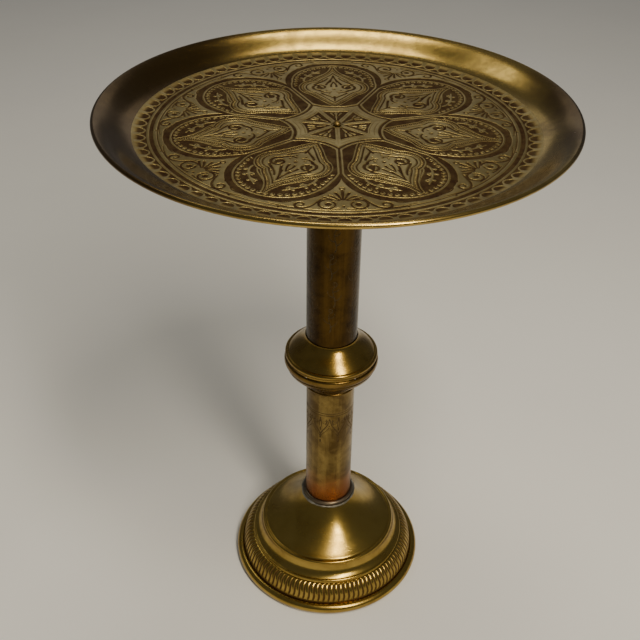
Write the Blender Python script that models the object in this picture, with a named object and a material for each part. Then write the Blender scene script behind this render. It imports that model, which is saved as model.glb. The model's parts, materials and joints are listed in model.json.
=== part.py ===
"""Pedestal tray table in spun and turned brass.

A round tray with a flared rim turns on a screw at the top of a two-part tube column.
The column carries a hollow knop at its middle and stands on a domed, weighted foot.
Metres, +Z up, origin at the centre of the foot's underside. Run it with
blender --background --python part.py, or from Blender's text editor.
"""

import math

import bmesh
import bpy

# ---- driving dimensions -------------------------------------------------------------
TABLE_HEIGHT = 0.5470          # floor to the top of the tray's rim
TRAY_RADIUS = 0.2030           # to the outside of the rolled edge
BASE_RADIUS = 0.1055           # to the outside of the foot's rolled bead
BASE_HEIGHT = 0.0900           # floor to the top of the spun foot
KNOP_SEAM_HEIGHT = 0.2866      # floor to the seam between the two knop shells

GAP = 0.0003                   # between pieces that touch, rest on or fit in each other
SPIN_GAP = 0.0006              # round the screw, so that the tray turns freely

# ---- tray -----------------------------------------------------------------------------
TRAY_SHEET = 0.0010
TRAY_DEPTH = 0.0182            # floor of the tray to the top of its rim
TRAY_FLARE_WIDTH = 0.0310      # plain flared rim, measured inwards from the edge
TRAY_BORDER_WIDTH = 0.0140     # gently rising border inside the flare
TRAY_BORDER_RISE = 0.0022
TRAY_ROLL_RADIUS = 0.0021
EDGE_WIRE_RADIUS = 0.0007

# ---- screw and the seat under the tray --------------------------------------------------
SCREW_RADIUS = 0.0020
SCREW_LENGTH = 0.0260          # under the head
SCREW_HEAD_RADIUS = 0.0034
SCREW_HEAD_HEIGHT = 0.0017
SCREW_SLOT_WIDTH = 0.0008
SCREW_SLOT_DEPTH = 0.0007
SCREW_WASHER_RADIUS = 0.0042
SCREW_WASHER_SHEET = 0.0005
SCREW_LAND_RADIUS = 0.0050     # patch of the tray round its screw, drawn up a little
SCREW_LAND_RISE = 0.0003
SCREW_LAND_SLOPE = 0.0020
SPIN_WASHER_RADIUS = 0.0520
SPIN_WASHER_THICKNESS = 0.0015
SEAT_RADIUS = 0.0600
SEAT_THICKNESS = 0.0020
SEAT_SKIRT_LENGTH = 0.0140
SEAT_SKIRT_WALL = 0.0016
TOP_PLUG_LENGTH = 0.0240

# ---- column ---------------------------------------------------------------------------
UPPER_TUBE_RADIUS = 0.0254
LOWER_TUBE_RADIUS = 0.0248
TUBE_WALL = 0.0012
UPPER_TUBE_SINK = 0.0080       # upper tube's end below the knop's seam
LOWER_TUBE_SINK = 0.0200       # lower tube's end below the knop's seam
COUPLING_BORE_RADIUS = 0.0120
COUPLING_LENGTH = 0.0220       # socket inside the upper tube
COUPLING_PLUG_LENGTH = 0.0160  # body of the spigot inside the lower tube
SPIGOT_LENGTH = 0.0240
SPIGOT_WALL = 0.0035
COUPLING_LIP = 0.0024

# ---- knop -----------------------------------------------------------------------------
KNOP_SHEET = 0.0011
KNOP_RADIUS = 0.0474           # to the crest of the bead
KNOP_SEAM_RADIUS = 0.0443
KNOP_DOME_HEIGHT = 0.0223      # seam to the top of the upper shell
KNOP_BOWL_HEIGHT = 0.0386      # seam to the foot of the lower shell
KNOP_BEAD_HEIGHT = 0.0095
KNOP_NECK_LIP = 0.0016

# ---- foot -----------------------------------------------------------------------------
BASE_SHEET = 0.0012
BASE_CONE_RADIUS = 0.0700      # where the cone meets the upper bead
BASE_CONE_FOOT = 0.0515        # height of that meeting line
BASE_STEP_RADIUS = 0.0853      # where the upper bead meets the reeded band
BASE_STEP_HEIGHT = 0.0310
BASE_BAND_FOOT = 0.0122        # height of the reeded band's lower edge
BASE_BAND_RADIUS = 0.0975      # its radius there, where the rolled bead begins
BASE_ROLL_RADIUS = 0.0055
BASE_RIM_LIFT = 0.0010         # rolled bead above the floor, so that the felt bears
COLLAR_HEIGHT = 0.0046
COLLAR_WIDTH = 0.0028
SOLDER_WIDTH = 0.0022
SOLDER_HEIGHT = 0.0014

# ---- inside the foot ----------------------------------------------------------------------
FELT_THICKNESS = 0.0030
FELT_RADIUS = 0.0940
PLATE_SHEET = 0.0012
PLATE_HUB_RADIUS = 0.0260
PLATE_HUB_RISE = 0.0072
WEIGHT_RADIUS = 0.0740
WEIGHT_THICKNESS = 0.0200
STUD_RADIUS = 0.0040
NUT_RADIUS = 0.0082            # across its corners
NUT_HEIGHT = 0.0056
NUT_WASHER_RADIUS = 0.0110
NUT_WASHER_SHEET = 0.0014
FOOT_PLUG_LENGTH = 0.0180
LOWER_TUBE_ENTRY = 0.0120      # lower tube's end below the top of the foot

# ---- facets -----------------------------------------------------------------------------
TRAY_SEGMENTS = 40
BASE_SEGMENTS = 32
COLUMN_SEGMENTS = 32
SMALL_SEGMENTS = 20
SHARP_ANGLE = math.radians(35)

# ---- heights that follow from the sizes above ------------------------------------------------
TRAY_FLOOR = TABLE_HEIGHT - TRAY_DEPTH
TRAY_UNDERSIDE = TRAY_FLOOR - TRAY_SHEET
SEAT_TOP = TRAY_UNDERSIDE - SPIN_WASHER_THICKNESS - 2 * GAP
UPPER_TUBE_TOP = SEAT_TOP - SEAT_THICKNESS - GAP
UPPER_TUBE_FOOT = KNOP_SEAM_HEIGHT - UPPER_TUBE_SINK
LOWER_TUBE_TOP = KNOP_SEAM_HEIGHT - LOWER_TUBE_SINK
LOWER_TUBE_FOOT = BASE_HEIGHT - LOWER_TUBE_ENTRY
PLATE_HEIGHT = FELT_THICKNESS + GAP
PLATE_HUB_TOP = PLATE_HEIGHT + PLATE_HUB_RISE + PLATE_SHEET
SCREW_HOLE_RADIUS = SCREW_RADIUS + SPIN_GAP


def clear_scene():
    for thing in list(bpy.data.objects):
        bpy.data.objects.remove(thing, do_unlink=True)


def new_material(name, colour, roughness, metallic):
    material = bpy.data.materials.new(name)
    material.use_nodes = True
    shader = material.node_tree.nodes["Principled BSDF"]
    shader.inputs["Base Color"].default_value = (*colour, 1.0)
    shader.inputs["Roughness"].default_value = roughness
    shader.inputs["Metallic"].default_value = metallic
    material.diffuse_color = (*colour, 1.0)
    return material


def brass(name, colour=(0.42, 0.31, 0.11), roughness=0.32):
    return new_material(name, colour, roughness, 1.0)


def steel(name, colour=(0.35, 0.34, 0.32), roughness=0.45):
    return new_material(name, colour, roughness, 1.0)


def felt(name, colour):
    return new_material(name, colour, 0.95, 0.0)


# ---- profiles: lists of (radius, height) -----------------------------------------------------
def arc(centre, radius, start, end, steps):
    """Points on an arc, from start to end in degrees, both ends included."""
    angles = [math.radians(start + (end - start) * i / steps) for i in range(steps + 1)]
    return [(centre[0] + radius * math.cos(a), centre[1] + radius * math.sin(a)) for a in angles]


def bezier(start, pull_start, pull_end, end, steps):
    """Points on a cubic curve, both ends included."""
    points = []
    for i in range(steps + 1):
        t = i / steps
        weights = ((1 - t) ** 3, 3 * t * (1 - t) ** 2, 3 * t * t * (1 - t), t ** 3)
        corners = (start, pull_start, pull_end, end)
        points.append(tuple(sum(w * c[k] for w, c in zip(weights, corners)) for k in (0, 1)))
    return points


def sheet(path, thickness):
    """Closed section of a sheet whose show face is path and whose metal lies on its right."""
    inner = []
    for i, point in enumerate(path):
        before = path[max(i - 1, 0)]
        after = path[min(i + 1, len(path) - 1)]
        normals = []
        for a, b in ((before, point), (point, after)):
            length = math.dist(a, b)
            if length > 0:
                normals.append(((b[1] - a[1]) / length, (a[0] - b[0]) / length))
        normal = tuple(sum(n[k] for n in normals) / len(normals) for k in (0, 1))
        stretch = thickness / (normal[0] ** 2 + normal[1] ** 2)
        inner.append((point[0] + normal[0] * stretch, point[1] + normal[1] * stretch))
    return path + inner[::-1]


def ring(inner_radius, outer_radius, bottom, top):
    return [(inner_radius, bottom), (outer_radius, bottom), (outer_radius, top), (inner_radius, top)]


# ---- objects ----------------------------------------------------------------------------
def finish(name, mesh_builder, material, height, parent=None):
    """One object named name from a bmesh, with its origin on the table's axis at height."""
    bmesh.ops.remove_doubles(mesh_builder, verts=mesh_builder.verts, dist=1e-6)
    bmesh.ops.recalc_face_normals(mesh_builder, faces=mesh_builder.faces)
    mesh = bpy.data.meshes.new(name)
    mesh_builder.to_mesh(mesh)
    mesh_builder.free()
    mesh.materials.append(material)
    mesh.shade_smooth()
    mesh.set_sharp_from_angle(angle=SHARP_ANGLE)
    piece = bpy.data.objects.new(name, mesh)
    bpy.context.scene.collection.objects.link(piece)
    piece.parent = parent
    piece.location.z = height - (parent.location.z if parent else 0)
    return piece


def turned(name, section, segments, material, height=0.0, parent=None):
    """A closed section, in heights above the piece's own seat, turned about the table's axis."""
    mesh_builder = bmesh.new()
    corners = [mesh_builder.verts.new((radius, 0, z)) for radius, z in section]
    edges = [
        mesh_builder.edges.new((a, b)) for a, b in zip(corners, corners[1:] + corners[:1])
    ]
    bmesh.ops.spin(
        mesh_builder, geom=corners + edges, cent=(0, 0, 0), axis=(0, 0, 1),
        angle=math.tau, steps=segments, use_merge=True,
    )
    return finish(name, mesh_builder, material, height, parent)


def hide_cutter(cutter):
    cutter.hide_render = True
    cutter.display_type = "WIRE"


def cut(piece, cutter):
    hide_cutter(cutter)
    boolean = piece.modifiers.new("cut", "BOOLEAN")
    boolean.operation = "DIFFERENCE"
    boolean.object = cutter


# ---- tray ---------------------------------------------------------------------------------
def tray_section():
    """Heights above the tray's floor: screw land, flat field, border, flare and rolled edge."""
    flare_start = TRAY_RADIUS - TRAY_FLARE_WIDTH
    border_start = flare_start - TRAY_BORDER_WIDTH
    roll_centre = (TRAY_RADIUS - TRAY_ROLL_RADIUS, TRAY_DEPTH - TRAY_ROLL_RADIUS)
    roll = arc(roll_centre, TRAY_ROLL_RADIUS, 110, -190, 7)
    flare = bezier(
        (flare_start, TRAY_BORDER_RISE),
        (flare_start + 0.33 * TRAY_FLARE_WIDTH, TRAY_BORDER_RISE + 0.15 * TRAY_DEPTH),
        (flare_start + 0.60 * TRAY_FLARE_WIDTH, 0.84 * TRAY_DEPTH),
        roll[0],
        5,
    )
    land = [(SCREW_HOLE_RADIUS, SCREW_LAND_RISE), (SCREW_LAND_RADIUS, SCREW_LAND_RISE)]
    field = [(SCREW_LAND_RADIUS + SCREW_LAND_SLOPE, 0.0), (border_start, 0.0)]
    border = [(border_start + 0.5 * TRAY_BORDER_WIDTH, 0.3 * TRAY_BORDER_RISE)]
    return sheet(land + field + border + flare[:-1] + roll, TRAY_SHEET)


def make_tray(pivot):
    turned("tray", tray_section(), TRAY_SEGMENTS, brass("tray_brass"), TRAY_FLOOR, pivot)
    wire_centre = (TRAY_RADIUS - TRAY_ROLL_RADIUS, TRAY_DEPTH - TRAY_ROLL_RADIUS)
    wire = arc(wire_centre, EDGE_WIRE_RADIUS, 0, 300, 5)
    turned("tray_edge_wire", wire, TRAY_SEGMENTS, steel("edge_wire_iron"), TRAY_FLOOR, pivot)


def make_tray_screw():
    """Domed slotted head over a thin washer, and a shank down into the top plug."""
    washer_foot = TRAY_FLOOR + SCREW_LAND_RISE + GAP
    turned(
        "tray_screw_washer",
        ring(SCREW_HOLE_RADIUS, SCREW_WASHER_RADIUS, 0, SCREW_WASHER_SHEET),
        SMALL_SEGMENTS, brass("screw_washer_brass"), washer_foot,
    )
    head_radius = (SCREW_HEAD_RADIUS ** 2 + SCREW_HEAD_HEIGHT ** 2) / (2 * SCREW_HEAD_HEIGHT)
    rim_angle = math.degrees(math.asin(1 - SCREW_HEAD_HEIGHT / head_radius))
    dome = arc((0, SCREW_HEAD_HEIGHT - head_radius), head_radius, rim_angle, 90, 4)
    shank = [(0, -SCREW_LENGTH), (SCREW_RADIUS, -SCREW_LENGTH), (SCREW_RADIUS, 0)]
    head_foot = washer_foot + SCREW_WASHER_SHEET + GAP
    screw = turned(
        "tray_screw", shank + dome, SMALL_SEGMENTS, brass("tray_screw_brass"), head_foot
    )
    builder = bmesh.new()
    bmesh.ops.create_cube(builder, size=1.0)
    slot_length = 2 * SCREW_HEAD_RADIUS + 2 * SCREW_SLOT_WIDTH
    bmesh.ops.scale(
        builder, vec=(slot_length, SCREW_SLOT_WIDTH, 2 * SCREW_SLOT_DEPTH), verts=builder.verts
    )
    slot = finish("screw_slot_cutter", builder, screw.data.materials[0], 0)
    slot.location.z = head_foot + SCREW_HEAD_HEIGHT
    slot.rotation_euler.z = math.radians(35)
    cut(screw, slot)


def make_seat():
    """Felt washer, seat disc with a skirt round the tube, and the tapped plug in the tube."""
    turned(
        "tray_spin_washer",
        ring(SCREW_HOLE_RADIUS, SPIN_WASHER_RADIUS, 0, SPIN_WASHER_THICKNESS),
        COLUMN_SEGMENTS, felt("spin_washer_felt", (0.05, 0.09, 0.05)), SEAT_TOP + GAP,
    )
    skirt_inside = UPPER_TUBE_RADIUS + GAP
    skirt_outside = skirt_inside + SEAT_SKIRT_WALL
    section = [
        (SCREW_HOLE_RADIUS, -SEAT_THICKNESS),
        (skirt_inside, -SEAT_THICKNESS),
        (skirt_inside, -SEAT_THICKNESS - SEAT_SKIRT_LENGTH),
        (skirt_outside, -SEAT_THICKNESS - SEAT_SKIRT_LENGTH),
        (skirt_outside, -SEAT_THICKNESS),
        (SEAT_RADIUS, -SEAT_THICKNESS),
        (SEAT_RADIUS, 0),
        (SCREW_HOLE_RADIUS, 0),
    ]
    turned("tray_seat", section, COLUMN_SEGMENTS, brass("tray_seat_brass"), SEAT_TOP)
    plug_radius = UPPER_TUBE_RADIUS - TUBE_WALL - GAP
    turned(
        "top_plug",
        ring(SCREW_RADIUS + GAP, plug_radius, -TOP_PLUG_LENGTH, 0),
        COLUMN_SEGMENTS, brass("top_plug_brass"), UPPER_TUBE_TOP,
    )


# ---- column -------------------------------------------------------------------------------
def make_tube(name, radius, foot, top):
    turned(
        name, ring(radius - TUBE_WALL, radius, 0, top - foot),
        COLUMN_SEGMENTS, brass(name + "_brass"), foot,
    )


def make_coupling():
    """Socket in the upper tube's end, and the spigot plug in the lower tube's end."""
    socket_radius = UPPER_TUBE_RADIUS - TUBE_WALL - GAP
    turned(
        "coupling_socket",
        ring(COUPLING_BORE_RADIUS, socket_radius, 0, COUPLING_LENGTH),
        COLUMN_SEGMENTS, brass("coupling_socket_brass"), UPPER_TUBE_FOOT,
    )
    plug_radius = LOWER_TUBE_RADIUS - TUBE_WALL - GAP
    spigot_radius = COUPLING_BORE_RADIUS - GAP
    bore_radius = spigot_radius - SPIGOT_WALL
    section = [
        (bore_radius, -COUPLING_PLUG_LENGTH),
        (plug_radius, -COUPLING_PLUG_LENGTH),
        (plug_radius, GAP),
        (LOWER_TUBE_RADIUS, GAP),
        (LOWER_TUBE_RADIUS, GAP + COUPLING_LIP),
        (spigot_radius, GAP + COUPLING_LIP),
        (spigot_radius, SPIGOT_LENGTH),
        (bore_radius, SPIGOT_LENGTH),
    ]
    turned(
        "coupling_spigot", section, COLUMN_SEGMENTS, brass("coupling_spigot_brass"), LOWER_TUBE_TOP
    )


def make_knop():
    """Two spun shells that meet at the seam. Heights are from the seam."""
    dome_hole = UPPER_TUBE_RADIUS + GAP
    dome_width = KNOP_SEAM_RADIUS - dome_hole
    dome = [(dome_hole, KNOP_DOME_HEIGHT)] + bezier(
        (dome_hole + KNOP_SHEET, KNOP_DOME_HEIGHT),
        (dome_hole + 0.30 * dome_width, 0.68 * KNOP_DOME_HEIGHT),
        (dome_hole + 0.86 * dome_width, 0.30 * KNOP_DOME_HEIGHT),
        (KNOP_SEAM_RADIUS, GAP / 2),
        5,
    )
    turned(
        "knop_upper_shell", sheet(dome, KNOP_SHEET), COLUMN_SEGMENTS,
        brass("knop_upper_brass"), KNOP_SEAM_HEIGHT,
    )
    neck_hole = LOWER_TUBE_RADIUS + GAP
    neck_radius = neck_hole + KNOP_SHEET
    bead_depth = KNOP_RADIUS - KNOP_SEAM_RADIUS
    bead_middle = -GAP / 2 - KNOP_BEAD_HEIGHT / 2
    bead = [
        (KNOP_SEAM_RADIUS, -GAP / 2),
        (KNOP_SEAM_RADIUS + 0.7 * bead_depth, bead_middle + 0.30 * KNOP_BEAD_HEIGHT),
        (KNOP_RADIUS, bead_middle),
        (KNOP_SEAM_RADIUS + 0.7 * bead_depth, bead_middle - 0.30 * KNOP_BEAD_HEIGHT),
        (KNOP_SEAM_RADIUS, bead_middle - 0.56 * KNOP_BEAD_HEIGHT),
    ]
    bowl = bezier(
        (KNOP_SEAM_RADIUS, bead_middle - 0.75 * KNOP_BEAD_HEIGHT),
        (KNOP_SEAM_RADIUS - 0.15 * dome_width, -0.60 * KNOP_BOWL_HEIGHT),
        (neck_radius + 0.20 * dome_width, -0.60 * KNOP_BOWL_HEIGHT),
        (neck_radius, KNOP_NECK_LIP - KNOP_BOWL_HEIGHT),
        5,
    )
    lip = [(neck_radius, -KNOP_BOWL_HEIGHT)]
    turned(
        "knop_lower_shell", sheet(bead + bowl + lip, KNOP_SHEET), COLUMN_SEGMENTS,
        brass("knop_lower_brass"), KNOP_SEAM_HEIGHT,
    )


# ---- foot ---------------------------------------------------------------------------------
def base_section():
    """Neck, cone, ogee step, reeded band and rolled bead, in heights above the floor."""
    neck_hole = LOWER_TUBE_RADIUS + GAP
    cone_width = BASE_CONE_RADIUS - neck_hole
    cone_drop = BASE_HEIGHT - BASE_CONE_FOOT
    cone = bezier(
        (neck_hole + COLLAR_WIDTH, BASE_HEIGHT),
        (neck_hole + 0.26 * cone_width, BASE_HEIGHT - 0.42 * cone_drop),
        (neck_hole + 0.66 * cone_width, BASE_HEIGHT - 0.84 * cone_drop),
        (BASE_CONE_RADIUS, BASE_CONE_FOOT),
        4,
    )
    step_width = BASE_STEP_RADIUS - BASE_CONE_RADIUS
    step_drop = BASE_CONE_FOOT - BASE_STEP_HEIGHT
    bead = bezier(
        (BASE_CONE_RADIUS + 0.04 * step_width, BASE_CONE_FOOT - 0.02 * step_drop),
        (BASE_CONE_RADIUS + 0.62 * step_width, BASE_CONE_FOOT - 0.02 * step_drop),
        (BASE_CONE_RADIUS + 0.22 * step_width, BASE_STEP_HEIGHT + 0.14 * step_drop),
        (BASE_STEP_RADIUS - 0.02 * step_width, BASE_STEP_HEIGHT),
        5,
    )
    roll_centre = (BASE_RADIUS - BASE_ROLL_RADIUS, BASE_RIM_LIFT + BASE_ROLL_RADIUS)
    roll = arc(roll_centre, BASE_ROLL_RADIUS, 108, -190, 7)
    band_width = BASE_BAND_RADIUS - BASE_STEP_RADIUS
    band_drop = BASE_STEP_HEIGHT - BASE_BAND_FOOT
    band = bezier(
        (BASE_STEP_RADIUS, BASE_STEP_HEIGHT - 0.02 * band_drop),
        (BASE_STEP_RADIUS + 0.45 * band_width, BASE_STEP_HEIGHT - 0.02 * band_drop),
        (BASE_STEP_RADIUS + 0.92 * band_width, BASE_STEP_HEIGHT - 0.42 * band_drop),
        (BASE_BAND_RADIUS, BASE_BAND_FOOT),
        4,
    )
    return sheet([(neck_hole, BASE_HEIGHT)] + cone + bead[1:] + band[1:] + roll, BASE_SHEET)


def make_foot():
    turned("base_dome", base_section(), BASE_SEGMENTS, brass("base_brass"))
    collar_inside = LOWER_TUBE_RADIUS + GAP
    collar_outside = collar_inside + COLLAR_WIDTH
    collar = [
        (collar_inside, 0),
        (collar_outside, 0),
        (collar_outside, 0.45 * COLLAR_HEIGHT),
        (collar_outside - 0.35 * COLLAR_WIDTH, 0.85 * COLLAR_HEIGHT),
        (collar_inside, COLLAR_HEIGHT),
    ]
    turned(
        "collar_ring", collar, COLUMN_SEGMENTS, brass("collar_brass"), BASE_HEIGHT + GAP
    )
    solder_inside = collar_outside + GAP
    solder = [
        (solder_inside, 0),
        (solder_inside + SOLDER_WIDTH, -SOLDER_HEIGHT),
        (solder_inside + 0.4 * SOLDER_WIDTH, 0.4 * SOLDER_HEIGHT),
        (solder_inside, SOLDER_HEIGHT),
    ]
    turned(
        "solder_bead", solder, BASE_SEGMENTS, steel("solder_tin", (0.30, 0.29, 0.27)),
        BASE_HEIGHT + 2 * GAP,
    )


def make_foot_inside():
    """From the floor up: felt, closing plate, cast weight, and the stud that clamps them."""
    turned(
        "base_felt", ring(PLATE_HUB_RADIUS, FELT_RADIUS, 0, FELT_THICKNESS),
        BASE_SEGMENTS, felt("base_felt_green", (0.03, 0.10, 0.05)),
    )
    stud_hole = STUD_RADIUS + GAP
    hub_edge = PLATE_HUB_RADIUS + PLATE_HUB_RISE
    plate = [
        (stud_hole, PLATE_HUB_RISE + PLATE_SHEET),
        (PLATE_HUB_RADIUS, PLATE_HUB_RISE + PLATE_SHEET),
        (hub_edge, PLATE_SHEET),
        (FELT_RADIUS, PLATE_SHEET),
    ]
    turned(
        "base_plate", sheet(plate, PLATE_SHEET), BASE_SEGMENTS, steel("base_plate_steel"),
        PLATE_HEIGHT,
    )
    weight_foot = PLATE_HEIGHT + PLATE_SHEET + GAP
    hub_clear = hub_edge + PLATE_SHEET
    chamfer = 0.12 * WEIGHT_THICKNESS
    weight = [
        (stud_hole, PLATE_HUB_RISE),
        (PLATE_HUB_RADIUS + PLATE_SHEET, PLATE_HUB_RISE),
        (hub_clear, 0),
        (WEIGHT_RADIUS, 0),
        (WEIGHT_RADIUS, WEIGHT_THICKNESS - chamfer),
        (WEIGHT_RADIUS - chamfer, WEIGHT_THICKNESS),
        (stud_hole, WEIGHT_THICKNESS),
    ]
    iron = new_material("base_weight_iron", (0.09, 0.085, 0.08), 0.7, 0.6)
    turned("base_weight", weight, BASE_SEGMENTS, iron, weight_foot)
    plug_radius = LOWER_TUBE_RADIUS - TUBE_WALL - GAP
    turned(
        "foot_plug", ring(stud_hole, plug_radius, 0, FOOT_PLUG_LENGTH), COLUMN_SEGMENTS,
        brass("foot_plug_brass"), LOWER_TUBE_FOOT,
    )
    washer_top = PLATE_HUB_TOP - PLATE_SHEET - GAP
    turned(
        "stud_washer",
        ring(stud_hole, NUT_WASHER_RADIUS, -NUT_WASHER_SHEET, 0),
        SMALL_SEGMENTS, steel("stud_washer_steel"), washer_top,
    )
    nut_top = washer_top - NUT_WASHER_SHEET - GAP
    make_nut(nut_top, stud_hole)
    stud_foot = nut_top - NUT_HEIGHT
    stud_top = LOWER_TUBE_FOOT + FOOT_PLUG_LENGTH
    stud = [(0, 0), (STUD_RADIUS, 0), (STUD_RADIUS, stud_top - stud_foot), (0, stud_top - stud_foot)]
    turned("base_stud", stud, SMALL_SEGMENTS, steel("base_stud_steel"), stud_foot)


def make_nut(top, hole_radius):
    """Hexagon nut under the closing plate, with its bore cut through."""
    builder = bmesh.new()
    bmesh.ops.create_cone(
        builder, cap_ends=True, segments=6, radius1=NUT_RADIUS, radius2=NUT_RADIUS, depth=NUT_HEIGHT
    )
    middle = top - NUT_HEIGHT / 2
    nut = finish("stud_nut", builder, steel("stud_nut_steel"), middle)
    builder = bmesh.new()
    bmesh.ops.create_cone(
        builder, cap_ends=True, segments=SMALL_SEGMENTS,
        radius1=hole_radius, radius2=hole_radius, depth=2 * NUT_HEIGHT,
    )
    cut(nut, finish("nut_bore_cutter", builder, nut.data.materials[0], middle))


def main():
    clear_scene()
    pivot = bpy.data.objects.new("tray_pivot", None)
    pivot.location.z = TRAY_FLOOR
    bpy.context.scene.collection.objects.link(pivot)
    make_tray(pivot)
    make_tray_screw()
    make_seat()
    make_tube("upper_tube", UPPER_TUBE_RADIUS, UPPER_TUBE_FOOT, UPPER_TUBE_TOP)
    make_tube("lower_tube", LOWER_TUBE_RADIUS, LOWER_TUBE_FOOT, LOWER_TUBE_TOP)
    make_coupling()
    make_knop()
    make_foot()
    make_foot_inside()


main()
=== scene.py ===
import json
import math

import bmesh
import bpy
import numpy as np
from mathutils import Matrix, Vector


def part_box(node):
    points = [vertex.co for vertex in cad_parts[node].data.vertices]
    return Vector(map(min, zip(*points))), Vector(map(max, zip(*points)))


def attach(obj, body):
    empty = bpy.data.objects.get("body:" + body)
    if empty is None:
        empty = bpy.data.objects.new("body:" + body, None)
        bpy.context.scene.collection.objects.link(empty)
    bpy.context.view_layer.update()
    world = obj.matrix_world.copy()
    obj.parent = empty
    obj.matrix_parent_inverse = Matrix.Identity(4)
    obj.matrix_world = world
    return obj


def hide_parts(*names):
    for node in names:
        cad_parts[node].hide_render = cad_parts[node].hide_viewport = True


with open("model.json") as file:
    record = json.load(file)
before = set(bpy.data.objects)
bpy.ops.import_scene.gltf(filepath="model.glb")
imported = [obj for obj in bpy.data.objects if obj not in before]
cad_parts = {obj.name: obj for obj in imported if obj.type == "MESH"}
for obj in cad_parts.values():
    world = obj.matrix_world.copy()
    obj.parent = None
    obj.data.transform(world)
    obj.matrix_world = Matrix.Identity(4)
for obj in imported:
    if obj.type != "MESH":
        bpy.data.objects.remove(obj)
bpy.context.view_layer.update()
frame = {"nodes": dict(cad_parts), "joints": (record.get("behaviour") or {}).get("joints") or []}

# ---- sizes read from the frame, in metres --------------------------------------------------
MM = 0.001
TRAY_FLOOR = frame["joints"][0]["pos_m"][2]
TRAY_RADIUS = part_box("tray")[1].x
TRAY_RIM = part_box("tray")[1].z
UPPER_TUBE_LOW, UPPER_TUBE_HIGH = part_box("upper_tube")
LOWER_TUBE_LOW, LOWER_TUBE_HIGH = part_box("lower_tube")
KNOP_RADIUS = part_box("knop_lower_shell")[1].x
KNOP_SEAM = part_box("knop_upper_shell")[0].z
KNOP_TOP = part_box("knop_upper_shell")[1].z
KNOP_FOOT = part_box("knop_lower_shell")[0].z
BASE_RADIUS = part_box("base_dome")[1].x
BASE_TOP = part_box("base_dome")[1].z
BASE_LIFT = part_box("base_dome")[0].z

# ---- sizes of the finished surfaces --------------------------------------------------------
GAP = 0.3 * MM
TRAY_SHEET = 1.0 * MM
ROLL_RADIUS = 2.1 * MM
EDGE_WIRE_RADIUS = 0.7 * MM
FLARE_WIDTH = 31 * MM
FLARE_START = TRAY_RADIUS - FLARE_WIDTH
BORDER_WIDTH = 14 * MM
BORDER_START = FLARE_START - BORDER_WIDTH
BORDER_RISE = 2.2 * MM
TRAY_BORE = 2.6 * MM
SINK = 0.62 * MM               # how far the plain sheet lies under the engraved panels
PANEL_LIFT = 0.05 * MM         # air between the plain sheet and a panel's underside
SKIN = 0.02 * MM               # points this near a panel's underside belong to it
CUT_DEPTH = 0.42 * MM          # depth of the cut ground below the bright lines
FIELD_EDGE = 158.0             # engraving is drawn in millimetres from the tray's centre
STAR_EDGE = 48.0
STAR_HOLE = 5.0
FLARE_EDGE = 172.0
PUNCH_CENTRE = 166.6           # middle of each horseshoe punch, and its radius
PUNCH_RADIUS = 5.6
PETALS = 7
HALF_PETAL = math.pi / PETALS
PETAL_TURN = math.radians(2.5)
PUNCHES = 72
TUBE_WALL = 1.2 * MM
TUBE_CUT = 0.16 * MM           # depth of the cuts in the tubes
SPUN_STEPS = 240
FINENESS = 1.0


def count(number):
    """A number of rows or columns, scaled by FINENESS."""
    return max(3, int(number * FINENESS))


# ---- outlines: lists of (radius, height) ---------------------------------------------------
def arc(centre, radius, start, end, steps):
    """Points on an arc, from start to end in degrees, both ends included."""
    angles = [math.radians(start + (end - start) * i / steps) for i in range(steps + 1)]
    return [(centre[0] + radius * math.cos(a), centre[1] + radius * math.sin(a)) for a in angles]


def bezier(start, pull_start, pull_end, end, steps):
    """Points on a cubic curve, both ends included."""
    points = []
    for i in range(steps + 1):
        t = i / steps
        weights = ((1 - t) ** 3, 3 * t * (1 - t) ** 2, 3 * t * t * (1 - t), t ** 3)
        corners = (start, pull_start, pull_end, end)
        points.append(tuple(sum(w * c[k] for w, c in zip(weights, corners)) for k in (0, 1)))
    return points


def straight(start, end, steps):
    return [
        (start[0] + (end[0] - start[0]) * i / steps, start[1] + (end[1] - start[1]) * i / steps)
        for i in range(steps + 1)
    ]


def spiral(centre, radius, end_radius, start, end, steps=26):
    """Points on a spiral that closes in from radius to end_radius, angles in degrees."""
    points = []
    for i in range(steps + 1):
        share = i / steps
        turned = math.radians(start + (end - start) * share)
        reach = radius + (end_radius - radius) * share
        points.append((centre[0] + reach * math.cos(turned), centre[1] + reach * math.sin(turned)))
    return points


def sheet(path, thickness):
    """Closed section of a sheet whose show face is path and whose metal lies on its right."""
    inner = []
    for i, point in enumerate(path):
        before = path[max(i - 1, 0)]
        after = path[min(i + 1, len(path) - 1)]
        normals = []
        for a, b in ((before, point), (point, after)):
            length = math.dist(a, b)
            if length > 0:
                normals.append(((b[1] - a[1]) / length, (a[0] - b[0]) / length))
        normal = tuple(sum(n[k] for n in normals) / len(normals) for k in (0, 1))
        stretch = thickness / (normal[0] ** 2 + normal[1] ** 2)
        inner.append((point[0] + normal[0] * stretch, point[1] + normal[1] * stretch))
    return path + inner[::-1]


# ---- mesh work -----------------------------------------------------------------------------
def piece_from(builder, name, material, body, replaced, sharp=50):
    """Finished object from a bmesh: welded, facing out, smooth, and riding on its body."""
    bmesh.ops.remove_doubles(builder, verts=builder.verts, dist=2e-6)
    bmesh.ops.recalc_face_normals(builder, faces=builder.faces)
    mesh = bpy.data.meshes.new(name)
    builder.to_mesh(mesh)
    builder.free()
    mesh.materials.append(material)
    mesh.shade_smooth()
    mesh.set_sharp_from_angle(angle=math.radians(sharp))
    made = bpy.data.objects.new(name, mesh)
    bpy.context.scene.collection.objects.link(made)
    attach(made, body)
    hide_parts(*replaced)
    return made


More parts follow.
